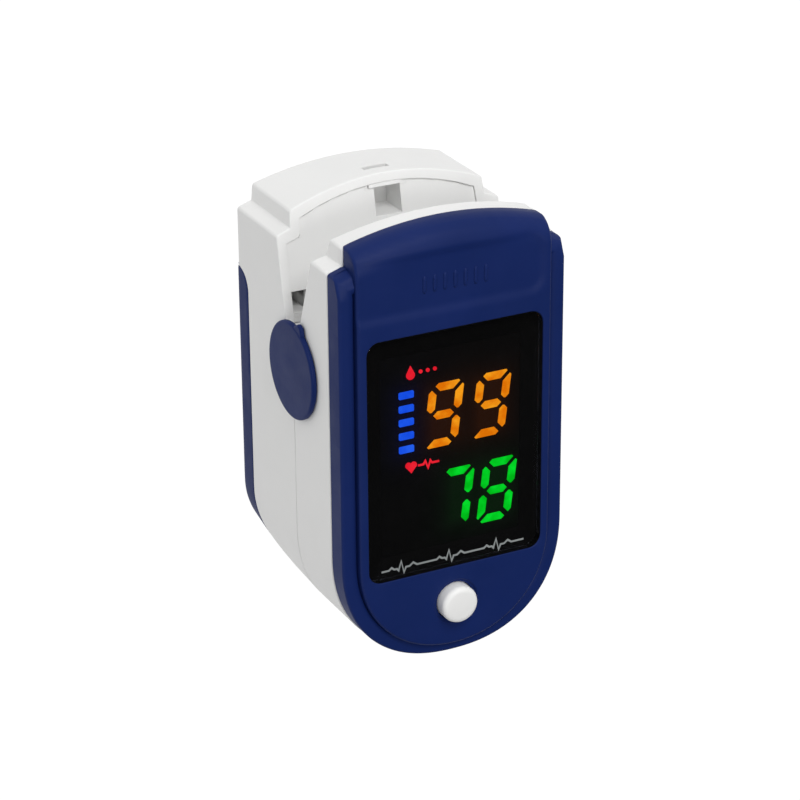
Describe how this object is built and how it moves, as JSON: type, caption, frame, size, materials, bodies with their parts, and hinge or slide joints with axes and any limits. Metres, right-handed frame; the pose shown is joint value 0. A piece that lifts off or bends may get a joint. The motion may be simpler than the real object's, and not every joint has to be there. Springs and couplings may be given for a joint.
{
  "type": "fingertip pulse oximeter",
  "caption": "Clip-on fingertip pulse oximeter: two spring-hinged shells with a padded finger tunnel, a dark display window with lit digits, a round power button and a sliding battery door.",
  "frame": {"origin": "centre of the whole part's box in plan, on the flat face of the battery door", "axes": "+Z is the way the display faces, +Y is towards the squeeze end (the finger goes in at -Y), +X is to the right for a person who looks at the display with +Y up"},
  "size_m": [0.0352, 0.062, 0.0345],
  "materials": {
    "white_plastic": "satin",
    "blue_plastic": "satin",
    "button_plastic": "semi-gloss",
    "black_plastic": "matte",
    "plunger_plastic": "matte",
    "silicone": "matte",
    "lens_glass": "gloss",
    "sensor_glass": "gloss",
    "cell_jacket": "gloss",
    "contact_metal": "polished",
    "spring_steel": "satin",
    "screw_steel": "satin",
    "circuit_board": "satin",
    "flex_film": "satin",
    "led_body": "gloss",
    "light_orange": "gloss",
    "light_green": "gloss",
    "light_blue": "gloss",
    "light_red": "gloss"
  },
  "bodies": {
    "lower_clip": {"lower_housing": "white_plastic", "lower_inner_shell": "white_plastic", "lower_finger_pad": "silicone", "battery_left": "cell_jacket", "battery_right": "cell_jacket", "contact_link": "contact_metal", "contact_positive": "contact_metal", "contact_negative": "contact_metal", "sensor_board": "circuit_board", "photodiode": "black_plastic", "sensor_window": "sensor_glass", "lower_screws": "screw_steel", "hinge_cap_left": "blue_plastic", "hinge_cap_right": "blue_plastic", "torsion_spring_left": "spring_steel", "torsion_spring_right": "spring_steel", "flex_cable": "flex_film"},
    "upper_clip": {"upper_housing": "white_plastic", "upper_inner_shell": "white_plastic", "upper_finger_pad": "silicone", "display_cover": "blue_plastic", "display_lens": "lens_glass", "display_module": "black_plastic", "oxygen_digits": "light_orange", "pulse_digits": "light_green", "level_bars": "light_blue", "display_icons": "light_red", "main_board": "circuit_board", "controller_chip": "black_plastic", "tact_switch": "black_plastic", "emitter_board": "circuit_board", "emitter_led": "led_body", "emitter_window": "sensor_glass", "upper_screws": "screw_steel"},
    "button": {"power_button": "button_plastic"},
    "plunger": {"switch_plunger": "plunger_plastic"},
    "door": {"battery_door": "blue_plastic"}
  },
  "joints": [
    {"name": "clip_hinge", "type": "hinge", "parent": "lower_clip", "child": "upper_clip", "pos_m": [0, 0.0088, 0.0191], "axis": [-1, 0, 0], "range_deg": [0, 28], "stiffness_Nm_per_rad": 0.12, "springref_deg": -20.05, "deforming": ["torsion_spring_left", "torsion_spring_right", "flex_cable"]},
    {"name": "button_press", "type": "slide", "parent": "upper_clip", "child": "button", "axis": [0, 0, -1], "range_m": [0, 0.0004], "stiffness_N_per_m": 60},
    {"name": "plunger_press", "type": "slide", "parent": "upper_clip", "child": "plunger", "axis": [0, 0, -1], "range_m": [0, 0.0004], "stiffness_N_per_m": 5},
    {"name": "door_slide", "type": "slide", "parent": "lower_clip", "child": "door", "axis": [0, -1, 0], "range_m": [0, 0.036]}
  ],
  "couplings": [
    {"joint": "plunger_press", "follows": "button_press", "ratio": 1}
  ]
}
